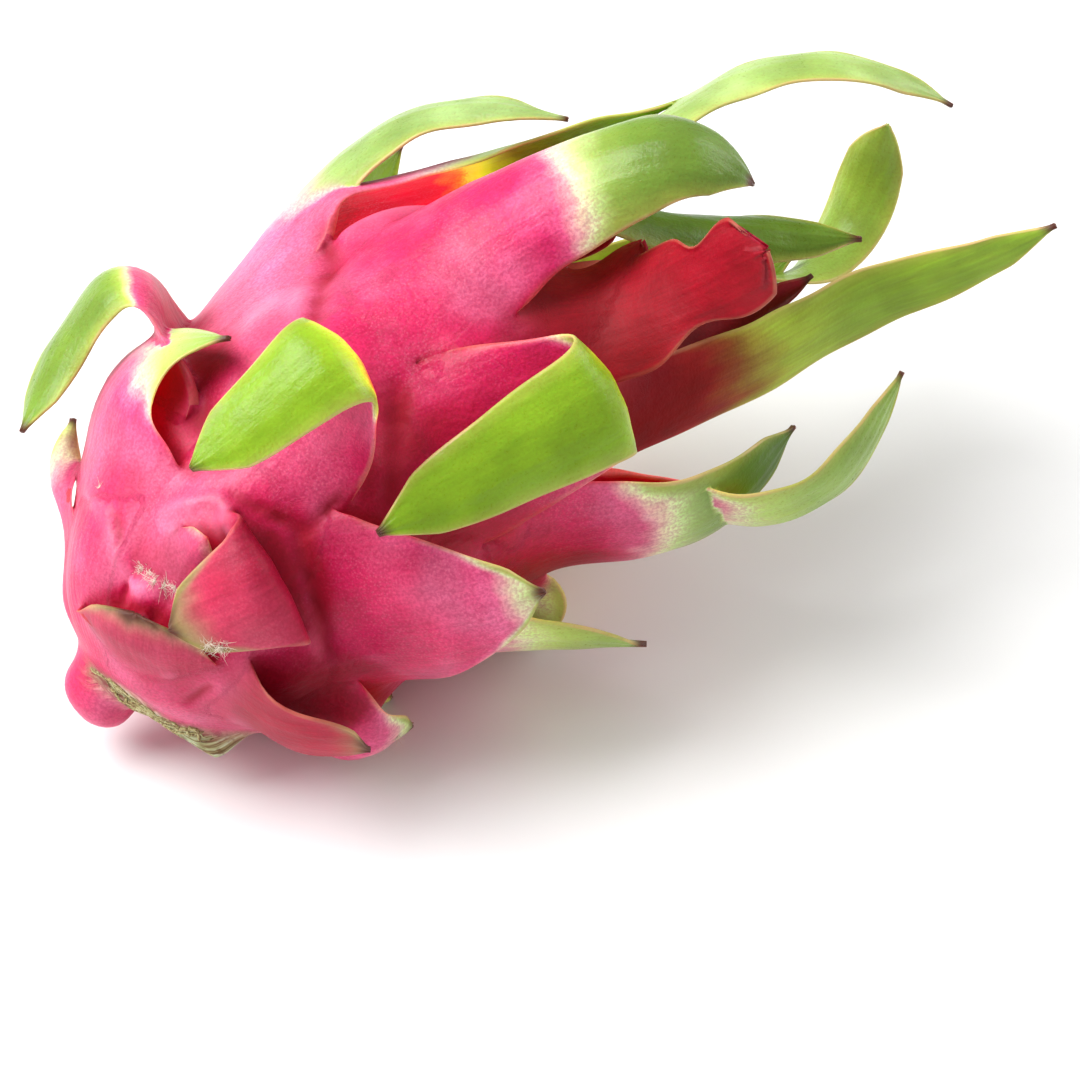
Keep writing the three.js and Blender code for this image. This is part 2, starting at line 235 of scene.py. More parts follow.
def addSolid(name, rings, fields):
    # a closed mesh from rings of points, each end closed with a fan
    rows, around = rings.shape[:2]
    points = np.concatenate([rings.reshape(-1, 3), rings[:1].mean(1), rings[-1:].mean(1)])
    j = np.arange(around)
    k = (j + 1) % around
    i = np.arange(rows - 1)[:, None] * around
    quads = np.stack([i + j, i + k, i + around + k, i + around + j], -1).reshape(-1, 4)
    first = np.full(around, rows * around)
    base = (rows - 1) * around
    faces = quads.tolist() + np.stack([first, k, j], -1).tolist() \
        + np.stack([first + 1, base + j, base + k], -1).tolist()
    a, b, c, d = (points[quads[:, n]] for n in range(4))
    volume = np.einsum("ij,ij->", a, np.cross(b, c)) + np.einsum("ij,ij->", a, np.cross(c, d))
    if volume < 0:
        faces = [f[::-1] for f in faces]
    mesh = bpy.data.meshes.new(name)
    mesh.from_pydata((points * mm).tolist(), [], faces)
    solids.append(addThing(name, mesh))
    row = np.stack([np.broadcast_to(fields[key], (rows, around)) for key in fieldNames], -1)
    row = row.reshape(-1, len(fieldNames))
    known.append((points, np.concatenate([row, row[:1], row[-1:]])))


# what the finish has to know at each point, as it is on the plain body
plain = {"tint": -9, "face": 1, "edge": 0, "red": 0, "lush": .4, "tip": -99, "dry": 0, "along": 0,
         "inside": 0, "dull": 0, "wax": 1, "line": 0, "flowX": 0, "flowY": 0, "flowZ": 0}
fieldNames = tuple(plain)
soft = len(fieldNames) - 3     # fields that are eased with the skin; the rest is the flow
column = {name: n for n, name in enumerate(fieldNames)}


def cushionHeight(station, turn):
    # the rise of the pads under the scales, and how far each place is a crease between two, which the
    # finish also darkens with painted shade
    nearest = np.ones(np.broadcast(station, turn).shape)
    second = nearest * 1.5
    for scale in scales:
        along = (station - scale["at"] + cushion["back"]) / cushion["length"]
        across = np.radians(turnFrom(scale["turn"], turn)) * body["radius"]
        across = across / (scale["width"] * cushion["spread"])
        this = along ** 2 + across ** 2
        second = np.minimum(second, np.maximum(nearest, this))
        nearest = np.minimum(nearest, this)
    line = np.exp(-((second - nearest) / cushion["creaseWidth"]) ** 2)
    return cushion["height"] * (cushion["rise"] - nearest) - cushion["crease"] * line, line


def makeBody():
    length = body["length"]
    t = np.linspace(0, 1, body["rings"])
    station = length * (1 - np.cos(np.pi * t * body["rings"] / (body["rings"] + 5))) / 2
    radius = bodyRadius(station)
    start = np.array(body["stemEnd"])
    rim = [(radius[-1], station[-1])] + [(r, length + s) for r, s in body["flowerScar"]]
    end = []
    for (r0, s0), (r1, s1) in zip(rim[:-1], rim[1:]):
        steps = max(2, int(math.hypot(r1 - r0, s1 - s0) / 1.5))
        end += [(r0 + (r1 - r0) * n / steps, s0 + (s1 - s0) * n / steps)
                for n in range(1, steps + 1)]
    radius = np.concatenate([start[:, 0], radius, [r for r, s in end]])
    station = np.concatenate([start[:, 1], station, [s for r, s in end]])
    turn = np.linspace(0, 360, body["sides"], endpoint=False)
    station, turn = np.meshgrid(station, turn, indexing="ij")
    radius = np.broadcast_to(radius[:, None], station.shape)
    swell, line = cushionHeight(station, turn)
    fade = smooth(radius, *cushion["fade"])
    # the painted shade in the creases between the pads
    line = line * cushion["creaseShadeShare"] * fade
    swell = swell * fade
    points = axisPoint(station) + outward(station, turn) * (radius + swell)[..., None]
    uneven = roughly(points, 22, 6) * body["swells"] + roughly(points, 9, 1) * body["relief"]
    uneven = uneven * smooth(radius, 8, 20)
    points += outward(station, turn) * uneven[..., None]
    along, away = (station - frost["at"]) / frost["long"], turnFrom(frost["turn"], turn) / frost["round"]
    frosted = np.exp(-along ** 2 - away ** 2)
    fields = dict(plain, line=line, red=smooth(station, 102, 114), wax=1 + frost["more"] * frosted,
                  flowX=station, flowY=np.radians(turn) * body["radius"],
                  dry=smooth(station, length - 4, length) * (1 - smooth(radius, 5, 8)))
    addSolid("bodySolid", layDown(points), fields)


def swing(start, end, degrees):
    # turns one direction towards another, and that one away from the first
    c, s = math.cos(math.radians(degrees)), math.sin(math.radians(degrees))
    return start * c + end * s, end * c - start * s


def midrib(scale, fine=400):
    at, turn = scale["at"], scale["turn"]
    ahead = onBody(at + .5, turn) - onBody(at - .5, turn)
    ahead /= np.linalg.norm(ahead)
    sideways = onBody(at, turn + 1) - onBody(at, turn - 1)
    out = np.cross(sideways, ahead)
    out /= np.linalg.norm(out)
    sideways = np.cross(ahead, out)
    ahead, sideways = swing(ahead, sideways, scale["aim"])
    place = onBody(at, turn) - out * scale["sunk"]
    x = np.linspace(0, 1, fine + 1)
    low, high = scale["fold"] - scale["span"] / 2, scale["fold"] + scale["span"] / 2
    pitch = np.diff(scale["lift"] * smooth(x, 0, blade["liftEnds"])
                    + scale["curl"] * smooth(x, low, high))
    yaw = np.diff(scale["sway"] * smooth(x, blade["swayStarts"], 1))
    roll = np.diff(scale["twist"] * smooth(x, blade["twistStarts"], 1))
    rows = [(place, ahead, sideways, out)]
    for n in range(fine):
        ahead, out = swing(ahead, out, pitch[n])
        ahead, sideways = swing(ahead, sideways, yaw[n])
        sideways, out = swing(sideways, out, roll[n])
        place = place + ahead * scale["length"] / fine
        rows.append((place, ahead, sideways, out))
    return x, np.array(rows)


def halfWidth(scale, x):
    taper = (1 - np.maximum((x - .25) / .75, 0) ** 1.15) ** .7
    shape = ((.8 + .2 * smooth(x, 0, .2)) * taper) ** (1 / scale["full"])
    tip = np.sqrt(np.minimum((1 - x) / blade["tipLength"], 1))
    root = 1 + scale["base"] * (1 - smooth(x, .1, .45))
    return np.maximum(scale["width"] / 2 * shape * tip * root, blade["narrowest"] / 2)


def makeScale(scale, number):
    x, rows = midrib(scale)
    steps = max(14, round(scale["length"] / blade["stepAlong"]))
    t = np.linspace(0, 1, steps + 1)
    stops = np.unique(np.round((t * 1.25 - .25 * t * t) * (len(x) - 1)).astype(int))
    x, rows = x[stops, None], rows[stops]
    place, ahead, sideways, out = (rows[:, n, None, :] for n in range(4))
    across = max(8, round(scale["width"] / blade["stepAcross"]))
    v = np.sin(np.linspace(-1, 1, across + 1) * blade["gather"]) / math.sin(blade["gather"])
    v = np.concatenate([v, [1], v[::-1], [-1]])[None, :]
    side = np.concatenate([np.ones(across + 1), [0], -np.ones(across + 1), [0]])[None, :]

    half = halfWidth(scale, x)
    half = half * (1 + .02 * scale["wave"] * np.sin(x * scale["length"] / 4 + number * 2 + v))
    for margin, along, depth in scale["dents"]:
        dent = np.exp(-((x - along) / blade["dentWidth"]) ** 2) * smooth(v * margin, .1, 1)
        half = half * (1 - depth * dent)
    rootAngle = half / bodyRadius(scale["at"]) * 1.15
    cupAngle = math.radians(scale["cup"]) * np.sqrt(half / (scale["width"] / 2))
    angle = rootAngle + (cupAngle - rootAngle) * smooth(x, .15, .6)
    angle = np.where(np.abs(angle) < 1e-3, 1e-3, angle)
    radius = half / angle
    swell = blade["rootSwell"] * (1 - smooth(x, .18, .32))
    dive = scale["dive"] * v ** 4 * (1 - smooth(x, 0, .3))
    thick = np.maximum(blade["thickness"] * (1 - .55 * x) * (1 - .7 * v * v), blade["thinnest"]) / 2
    depth = np.where(side > 0, thick, np.where(side < 0, -thick - swell * (1 - .5 * v * v), 0))
    lip = np.where(side == 0, blade["lip"] * v, 0)
    wave = scale["wave"] * np.abs(v) ** 3 * smooth(x, .2, .5) * (
        np.sin(x * scale["length"] / 7 + number + 1.3 * np.sign(v)) * .6
        + .5 * np.sin(x * scale["length"] / 3.1 + number * 3 + 2.1 * np.sign(v)))
    ribs = blade["ribHeight"] * np.cos(v * math.pi * blade["ribs"])
    ribs = ribs * smooth(x, .3, .5) * (1 - np.abs(v)) ** .5
    tilt = v * angle
    points = (place + sideways * ((radius + depth) * np.sin(tilt) + lip * np.cos(tilt))[..., None]
              + out * ((radius + depth) * np.cos(tilt) - radius - dive + wave + ribs
                       - lip * np.sin(tilt))[..., None])
    if scale["rag"]:
        jag = roughly(np.stack([v * 4, v * 0 + number, v * 0], -1), 1, 3) \
            + .6 * roughly(np.stack([v * 11, v * 0 + number, v * 0], -1), 1, 4)
        points = points + ahead * (scale["rag"] * jag * smooth(x, .6, 1))[..., None]
    uneven = roughly(place + 0 * points, 18, number % 5) * .5 + roughly(points, 9, 2) * .25
    points = points + out * (uneven * smooth(x, .1, .3))[..., None]

    edge = smooth(np.abs(v), .72, 1) * smooth(half, .5, 3)
    reach = (x - scale["green"]) * scale["length"] + scale["rim"] * edge
    fields = dict(
        tint=np.clip(reach / scale["blur"], -9, 9), face=np.clip(side * .5 + .5, 0, 1),
        edge=np.abs(v) + 0 * x, red=scale["red"], lush=scale["lush"],
        tip=(x - 1) * scale["length"] + 0 * v if scale["rag"] == 0 else -99, dry=0, along=x + 0 * v,
        inside=np.clip(.5 - side * .5, 0, 1) * scale["warm"], dull=scale["dull"],
        wax=scale["wax"], line=0,
        flowX=x * scale["length"] + 0 * v, flowY=v * half, flowZ=number * 31.7)
    addSolid(f"scaleSolid{number}", layDown(points), fields)


stub = {"length": 39, "width": 9.5, "depth": 11, "rise": 1.5, "offset": 6}
lobe = {"size": (8, 9, 11), "at": -1.5, "off": 12, "turn": -112}


def acrossStem(x, z):
    # turns a place on the stem end so that its long way lies along the bend
    c, s = math.cos(math.radians(body["bendTowards"])), math.sin(math.radians(body["bendTowards"]))
    return x * c + z * s, z * c - x * s


def makeStub():
    # the cut stem: a flat rib end set across the stem end
    t = np.linspace(0, 2 * np.pi, 72, endpoint=False)
    rings = []
    levels = [(.3, 0), (.7, 0), (.93, 0)] + [(1, h) for h in np.linspace(0, 1, 9)]
    levels += [(.93, 1), (.7, 1), (.3, 1)]
    for spread, h in levels:
        size = spread * (1 - .14 * h)
        ragged = 1 + .03 * np.sin(5 * t + h * 2) + .02 * np.sin(11 * t) + .03 * h * np.sin(23 * t)
        narrow = 1 - .35 * smooth(np.abs(np.cos(t)), .3, 1)
        across = stub["width"] / 2 * size * np.sin(t) * ragged * narrow
        long = stub["length"] / 2 * size * np.cos(t) * ragged + stub["offset"]
        down = stub["rise"] - stub["depth"] * (1 - h) + .5 * h * np.sin(17 * t) * spread
        rings.append(np.stack([across, -down + 0 * t, long], -1))
    rings = np.array(rings)
    x, y, z = np.moveaxis(rings, -1, 0)
    turnedX, turnedZ = acrossStem(x, z)
    turn = np.degrees(np.arctan2(turnedX, turnedZ))
    points = axisPoint(y) + outward(y, turn) * np.hypot(turnedX, turnedZ)[..., None]
    addSolid("stubSolid", layDown(points), dict(plain, dry=1, flowX=z, flowY=x))


def makeLobe():
    t = np.linspace(0, 2 * np.pi, 40, endpoint=False)
    p = np.linspace(.12, np.pi - .12, 22)
    rings = np.stack([np.outer(np.sin(p), np.cos(t)), np.outer(np.cos(p), np.ones_like(t)),
                      np.outer(np.sin(p), np.sin(t))], -1) * np.array(lobe["size"])
    rings = rings * (1 + .06 * roughly(rings, 7, 5))[..., None]
    place = axisPoint(lobe["at"]) + outward(lobe["at"], lobe["turn"]) * lobe["off"]
    addSolid("lobeSolid", layDown(rings + place), dict(plain, flowX=rings[..., 0], flowY=rings[..., 2]))


makeBody()
makeStub()
makeLobe()
for number, scale in enumerate(scales):
    makeScale(scale, number)
print("stage: solids", len(solids))


# all of it is grown together as one skin
def joinSolids():
    rest = bpy.data.collections.new("rest")
    bpy.context.scene.collection.children.link(rest)
    for thing in solids[1:]:
        bpy.context.scene.collection.objects.unlink(thing)
        rest.objects.link(thing)
    join = solids[0].modifiers.new("join", "BOOLEAN")
    join.operation = "UNION"
    join.operand_type = "COLLECTION"
    join.collection = rest
    join.solver = "MANIFOLD"
    bpy.context.view_layer.update()
    graph = bpy.context.evaluated_depsgraph_get()
    mesh = bpy.data.meshes.new_from_object(solids[0].evaluated_get(graph))
    for thing in solids:
        bpy.data.objects.remove(thing)
    bpy.data.collections.remove(rest)
    return mesh


skinMesh = joinSolids()
print("stage: joined", len(skinMesh.vertices), "points", len(skinMesh.polygons), "faces")


skin = {
    "weld": .04,           # shorter edges than this are closed up
    "softness": 6,         # how far from a seam the skin is eased
    "easing": 45, "fieldEasing": 16,           # rounds of easing at the seams between pads
    "axilEasing": 3, "axilPull": (.8, .06),    # where a blade rises from the skin, and elsewhere
    "wrinkleEasing": 3, "wrinklePull": .7,
    "seamFrom": .01,       # a point this far from every solid's own points lies on a seam
    "outerFace": .75, "rootEnds": .45,         # a seam is eased between outer faces near a root
    "rays": 14, "rayStart": .4, "rayReach": 32, "rayLean": 1.02,
}


def largestIsland(shape):
    left = set(shape.verts)
    best = []
    while left:
        island = [left.pop()]
        for point in island:
            for edge in point.link_edges:
                other = edge.other_vert(point)
                if other in left:
                    left.remove(other)
                    island.append(other)
        if len(island) > len(best):
            best = island
    return set(best)


def tidySkin():
    shape = bmesh.new()
    shape.from_mesh(skinMesh)
    bmesh.ops.dissolve_degenerate(shape, dist=skin["weld"] * mm, edges=shape.edges)
    bmesh.ops.triangulate(shape, faces=shape.faces)
    alike = {}
    for face in shape.faces:
        alike.setdefault(frozenset(face.verts), []).append(face)
    folded = [face for twins in alike.values() if len(twins) > 1 for face in twins]
    bmesh.ops.delete(shape, geom=folded, context="FACES")
    keep = largestIsland(shape)
    loose = [p for p in shape.verts if p not in keep or not p.link_faces]
    bmesh.ops.delete(shape, geom=loose, context="VERTS")
    shape.to_mesh(skinMesh)
    shape.free()


def pointsOf(mesh):
    values = np.empty(len(mesh.vertices) * 3, np.float32)
    mesh.vertices.foreach_get("co", values)
    return values.reshape(-1, 3).astype(float) / mm


def edgesOf(mesh):
    return np.array([e.vertices[:] for e in mesh.edges])


def normalsOf(mesh):
    return np.array([n.vector for n in mesh.vertex_normals])


def setSkin(points):
    # moves the skin to these points, none of them below the floor
    points[:, 2] = np.maximum(points[:, 2], 0)
    skinMesh.vertices.foreach_set("co", (points * mm).ravel())
    skinMesh.update()


def neighbourSum(values, edges):
    a, b = edges.T
    return np.bincount(a, values[b], len(values)) + np.bincount(b, values[a], len(values))


def relax(values, edges, weights, rounds):
    # eases values towards the mean of their neighbours
    count = np.maximum(neighbourSum(np.ones(len(values)), edges), 1)
    for _ in range(rounds):
        total = np.stack([neighbourSum(each, edges) for each in values.T], -1)
        values = values + .5 * weights[:, None] * (total / count[:, None] - values)
    return values


def nearestDistance(points, targets):
    tree = kdtree.KDTree(len(targets))
    for n, target in enumerate(targets):
        tree.insert(target, n)
    tree.balance()
    found = [tree.find(point) for point in points]
    return np.array([f[2] for f in found]), np.array([f[1] for f in found])


def treeOf(mesh):
    # the mesh as something that rays can be cast at
    shape = bmesh.new()
    shape.from_mesh(mesh)
    tree = BVHTree.FromBMesh(shape)
    shape.free()
    return tree


def openness(points, normals, tree):
    # the share of directions that see past the fruit from each point
    ways = chance.normal(size=(skin["rays"], 3))
    ways /= np.linalg.norm(ways, axis=1)[:, None]
    free = np.zeros(len(points))
    for n, (point, normal) in enumerate(zip(points, normals)):
        start = Vector(point + normal * skin["rayStart"]) * mm
        for way in ways:
            lean = way + normal * skin["rayLean"]
            if tree.ray_cast(start, lean, skin["rayReach"] * mm)[0] is None:
                free[n] += 1 / len(ways)
    return free


tidySkin()
points, edges = pointsOf(skinMesh), edgesOf(skinMesh)
sourcePoints = np.concatenate([k[0] for k in known])
sourceFields = np.concatenate([k[1] for k in known])
away, nearest = nearestDistance(points, sourcePoints)
fields = sourceFields[nearest]
seam = away > skin["seamFrom"]
print("stage: seam points", seam.sum(), "of", len(points))
a, b = edges.T

# seams between outer faces are eased, and those under an inner face stay as creases
faceOf = np.where(seam, 9, fields[:, column["face"]])
lowest = np.full(len(points), 9.0)
np.minimum.at(lowest, a, faceOf[b])
np.minimum.at(lowest, b, faceOf[a])
alongOf = np.where(seam, 0, fields[:, column["along"]])
furthest = np.zeros(len(points))
np.maximum.at(furthest, a, alongOf[b])
np.maximum.at(furthest, b, alongOf[a])
softSeam = seam & (lowest > skin["outerFace"]) & (furthest < skin["rootEnds"])
count = neighbourSum(~seam, edges)[seam, None]
total = np.stack([neighbourSum(each * ~seam, edges) for each in fields.T], -1)[seam]
fields[seam] = np.where(count > 0, total / np.maximum(count, 1), fields[seam])
reach, _ = nearestDistance(points, points[softSeam])
easing = np.exp(-(reach / skin["softness"]) ** 2) * (fields[:, column["face"]] > .5)
points = relax(points, edges, easing, skin["easing"])
fields[:, :soft] = relax(fields[:, :soft], edges, easing, skin["fieldEasing"])
points = relax(points, edges, np.where(seam & ~softSeam, *skin["axilPull"]), skin["axilEasing"])
setSkin(points)


# folds and creases between the pads, as (station, turn) to (station, turn), rise and width in mm
wrinkles = [
    (30, 7, 38.5, 20.5, 1.4, 1.3), (38.5, 20.5, 36, 26, 1, 1.2), (28, 8.5, 28.5, 22, 1, 1.2),
    (33.5, 12, 31, 22, .6, .8), (34.5, 16, 33, 27, .6, .8), (36, 21, 34, 31, .5, .8),
    (40, 20.5, 44, 40, -1.1, 1.1), (44, 40, 31, 76, -1.6, 1.5), (43, 43, 55, 42, -.9, 1.2),
    (41, -48, 41.5, -29, -.9, 1.1), (41.5, -29, 39, -4, -.9, 1.1), (39, -4, 39, 8, -.6, 1),
    (19, 8, 20, 19, -.9, .9), (20, 19, 17, 26, -.9, .9),
    (25, -32, 23, -13, .9, 1.2), (23, -13, 18, -1, .9, 1.2), (18, -1, 15, 15, .9, 1.2),
    (24, -9, 20, -2, -.7, .9), (12, 20, 7, 45, .8, 1.3), (9, 0, 5, 28, .7, 1.2),
    (10, 62, 4, 70, -.9, 1), (14, 78, 8, 92, .8, 1.2),
    (74.5, 0, 78, -7, -.9, 1.8), (78, -7, 81, -15, -1.1, 2.4), (81, -15, 88, -28, -1.2, 2.8),
    (73, -4, 80, -19, 1.2, 2), (88, -28, 91, -42, -1.4, 2.4),
    (94, -38, 112, -41, 3.3, 3),
    (79, 29.5, 71, 43, -1.6, 2.4), (71, 43, 62, 52, -1.2, 2.2),
    (50, -18, 47, 0, -1.2, 4), (47, 0, 46, 11, -2, 3.5),
    (40, 78, 47, 96, -1.6, 1.8), (27, 100, 34, 128, 1, 1.4), (22, 118, 15, 140, -1, 1.2),
    (42, -75, 30, -98, -1.4, 1.6), (20, -78, 12, -108, .9, 1.3), (24, 150, 16, -170, -1.1, 1.3),
    (46, 140, 50, 168, -1.3, 1.6), (48, -160, 44, -132, -1.3, 1.6), (17, -130, 9, -150, .8, 1.2),
]
wrinkleReach = {"deep": 6, "wide": 2.6}    # mm off the body's own surface, and times their width


def wrinkleAt(points):
    # the rise at each point, its painted crease shade (to 1) or painted ridge highlight (to -1), and
    # whether one is close
    height, line = np.zeros(len(points)), np.zeros(len(points))
    close = np.zeros(len(points), bool)
    for at, turnA, toAt, turnB, rise, wide in wrinkles:
        start, end = layDown(onBody(at, turnA)), layDown(onBody(toAt, turnB))
        out = layDown(onBody(at, turnA) + outward(at, turnA)) - start
        out = out - (end - start) * (out @ (end - start)) / np.sum((end - start) ** 2)
        out = out / np.linalg.norm(out)
        share = np.clip((points - start) @ (end - start) / np.sum((end - start) ** 2), 0, 1)
        off = points - start - share[:, None] * (end - start)
        above = off @ out
        away = np.linalg.norm(off - above[:, None] * out, axis=1) / wide
        near = (np.abs(above) < wrinkleReach["deep"]) & (away < wrinkleReach["wide"])
        this = near * np.sin(np.pi * (.12 + .76 * share)) ** .5 * np.exp(-away ** 2)
        height += rise * this
        line = np.where(this > np.abs(line), -this * np.sign(rise), line)
        close |= near
    return height, line, close


def giveField(mesh, name, values):
    kind = "FLOAT" if values.ndim == 1 else "FLOAT_VECTOR"
    layer = mesh.attributes.new(name, kind, "POINT")
    layer.data.foreach_set("value" if values.ndim == 1 else "vector",
                           values.astype(np.float32).ravel())


def refineSkin():
    # finer skin along the wrinkles
    shape = bmesh.new()
    shape.from_mesh(skinMesh)
    close = wrinkleAt(pointsOf(skinMesh))[2]
    picked = [e for e in shape.edges if close[e.verts[0].index] or close[e.verts[1].index]]
    bmesh.ops.subdivide_edges(shape, edges=picked, cuts=1)
    bmesh.ops.triangulate(shape, faces=[f for f in shape.faces if len(f.verts) > 3])
    shape.to_mesh(skinMesh)
    shape.free()


for n, name in enumerate(fieldNames):
    giveField(skinMesh, name, fields[:, n])
refineSkin()
points, edges, normals = pointsOf(skinMesh), edgesOf(skinMesh), normalsOf(skinMesh)
fields = np.empty((len(points), len(fieldNames)))
for n, name in enumerate(fieldNames):
    values = np.empty(len(points), np.float32)
    skinMesh.attributes[name].data.foreach_get("value", values)
    fields[:, n] = values
height, line, close = wrinkleAt(points)
pull = close * skin["wrinklePull"]
onSkin = smooth(fields[:, column["face"]], .4, .8)
onSkin *= 1 - smooth(fields[:, column["along"]], .25, .4)
points += normals * (height * onSkin)[:, None]
points = relax(points, edges, pull, skin["wrinkleEasing"])
setSkin(points)
normals = normalsOf(skinMesh)
# the painted crease shade and ridge highlight of the wrinkles, or the body's own where that is stronger
line = relax((line * onSkin)[:, None], edges, pull, skin["wrinkleEasing"])[:, 0]
bodyLine = fields[:, column["line"]]
line = np.where(np.abs(line) > np.abs(bodyLine), line, bodyLine)
print("stage: wrinkles raised", len(points), "points")
skinTree = treeOf(skinMesh)
# the open share of each point, which sets painted shade in the hollows and painted sheen where open
seen = openness(points, normals, skinTree)
seen = relax(seen[:, None], edges, np.ones(len(points)), 3)[:, 0]
print("stage: skin eased")


skinMesh.attributes["line"].data.foreach_set("value", line.astype(np.float32))
giveField(skinMesh, "flow", fields[:, soft:])
giveField(skinMesh, "seen", seen)
for face in skinMesh.polygons:
    face.use_smooth = True
skinMesh.materials.clear()
fruit = addThing("fruit_skin", skinMesh)


def newFinish(name):
    finish = bpy.data.materials.new(name)
    finish.use_nodes = True
    return finish, finish.node_tree, finish.node_tree.nodes["Principled BSDF"]


def newGroup(name, inputs, outputs):
    # a group whose inputs are numbers, or vectors where no value is given, and puts out numbers
    tree = bpy.data.node_groups.new(name, "ShaderNodeTree")
    for label, value in inputs.items():
        kind = "NodeSocketVector" if value is None else "NodeSocketFloat"
        socket = tree.interface.new_socket(name=label, in_out="INPUT", socket_type=kind)
        if value is not None:
            socket.default_value = value
    for label in outputs:
        tree.interface.new_socket(name=label, in_out="OUTPUT", socket_type="NodeSocketFloat")
    return tree, tree.nodes.new("NodeGroupInput").outputs, tree.nodes.new("NodeGroupOutput").inputs


def put(socket, value):
    # links a value, or sets it where it is a plain number or colour
    if isinstance(value, bpy.types.NodeSocket):
        socket.id_data.links.new(value, socket)
    elif isinstance(value, (tuple, list)) and len(value) == 3 and socket.type == "RGBA":
        socket.default_value = (*value, 1)
    else:
        socket.default_value = value


def addNode(kind, given=(), tree=None, **settings):
    # a node with its settings, and its inputs by name or number, in the tree they come from
    given = given if isinstance(given, dict) else dict(enumerate(given))
    tree = tree or next(x.id_data for x in given.values() if isinstance(x, bpy.types.NodeSocket))
    n = tree.nodes.new("ShaderNode" + kind)
    for name, value in settings.items():
        setattr(n, name, value)
    for key, value in given.items():
        put(n.inputs[key], value)
    return n.outputs


def maths(operation, a, b=0.0, c=0.0, clamp=False):
    return addNode("Math", (a, b, c), operation=operation, use_clamp=clamp)[0]


def times(a, b):
    return maths("MULTIPLY", a, b)


def timesPlus(a, b, c, clamp=False):
    return maths("MULTIPLY_ADD", a, b, c, clamp)


def ease(value, low, high, toLow=0.0, toHigh=1.0):
    values = (value, low, high, toLow, toHigh)
    return addNode("MapRange", values, interpolation_type="SMOOTHSTEP")[0]


def blend(share, a, b, kind="MIX"):
    return addNode("Mix", {0: share, 6: a, 7: b}, data_type="RGBA", blend_type=kind)[2]


def ramp(value, stops):
    n = value.id_data.nodes.new("ShaderNodeValToRGB")
    while len(n.color_ramp.elements) < len(stops):
        n.color_ramp.elements.new(.5)
    for element, (place, colour) in zip(n.color_ramp.elements, stops):
        element.position = place
        element.color = (*colour, 1)
    put(n.inputs[0], value)
    return n.outputs[0]


def noiseNode(vector, scale, detail=3.0, roughness=.55):
    given = {"Vector": vector, "Scale": scale, "Detail": detail, "Roughness": roughness}
    return addNode("TexNoise", given)["Fac"]


def stretch(vector, amounts):
    return addNode("VectorMath", (vector, amounts), operation="MULTIPLY")[0]


def field(tree, name, output="Fac"):
    return addNode("Attribute", tree=tree, attribute_name=name)[output]


def placeInMm(tree):
    return stretch(addNode("TexCoord", tree=tree)["Object"], (1 / mm,) * 3)


def useGroup(group, **given):
    return addNode("Group", given, node_tree=group)


def shade(share, colour, tone):
    # the colour, multiplied by a tone for the given share
    return blend(share, colour, blend(1.0, colour, tone, "MULTIPLY"))


def nudge(unrest, amount, value):
    # the value, moved either way by an unrest that runs from 0 to 1
    return timesPlus(maths("SUBTRACT", unrest, .5), amount, value)


def speckleGroup():
    # tiny pale flecks, in places thick and in places thin. Its place is in millimetres
    tree, given, out = newGroup("fine flecks", {"Place": None, "Size": 1.0, "Patch": 12.0},
                                ("Flecks", "Grain"))
    place, size = given["Place"], given["Size"]
    cells = addNode("TexVoronoi", {"Vector": place, "Scale": maths("DIVIDE", 1.0, size)})
    dots = ease(cells["Distance"], .55, .05)
    patches = noiseNode(place, maths("DIVIDE", 1.0, given["Patch"]))
    put(out["Flecks"], times(dots, ease(patches, .35, .65)))
    put(out["Grain"], noiseNode(place, maths("DIVIDE", .9, size), 2.0))
    return tree


def streakGroup():
    # soft streaks that run with the growth
    tree, given, out = newGroup("growth streaks", {"Flow": None}, ("Broad", "Fine"))
    broad, fine = (stretch(given["Flow"], size) for size in ((.035, .22, 1), (.09, 1.1, 1)))
    put(out["Broad"], noiseNode(broad, 1.0, 1.0))
    put(out["Fine"], noiseNode(fine, 1.0, 4.0, .6))
    return tree


fineFlecks = speckleGroup()
growthStreaks = streakGroup()

skinColours = {
    "outer": [(0, (.60, .004, .085)), (.26, (.67, .008, .120)), (.37, (.76, .075, .22)),
              (.44, (.84, .36, .40)), (.50, (.84, .76, .48)), (.56, (.64, .76, .32)),
              (.66, (.35, .52, .11)), (.82, (.205, .35, .045)), (1, (.17, .30, .034))],
    "inner": [(0, (.42, .002, .014)), (.18, (.68, .004, .032)), (.40, (.80, .012, .036)),
              (.48, (.94, .22, .03)), (.55, (.86, .60, .05)), (.64, (.48, .60, .03)),
              (.82, (.24, .42, .022)), (1, (.18, .34, .016))],
    "crimson": [(0, (.32, .001, .012)), (.30, (.39, .0015, .014)), (.43, (.42, .012, .012)),
                (.50, (.40, .11, .02)), (.56, (.38, .32, .04)), (.64, (.28, .42, .05)),
                (.82, (.17, .31, .035)), (1, (.15, .28, .028))],
    # the bloom colour is waxy bloom, partly used as a painted sheen
    "bloomAndSheen": (.92, .36, .60), "glaucous": (.47, .68, .38), "frost": (.58, .42, .44),
    # the crease colour is painted shade in the creases, the ridge colour a painted highlight on the
    # ridges
    "crease": (.32, .002, .016), "ridge": (.86, .26, .42), "fleck": (.93, .40, .56),
    "margin": (.50, .52, .09), "tip": (.10, .03, .018), "lip": (.80, .50, .26),
    "dull": (.24, .15, .06), "dryDark": (.16, .075, .035),
    "dry": [(0, (.10, .055, .025)), (.3, (.26, .19, .08)), (.5, (.44, .44, .21)),
            (.75, (.56, .62, .38)), (1, (.74, .74, .54))],
}
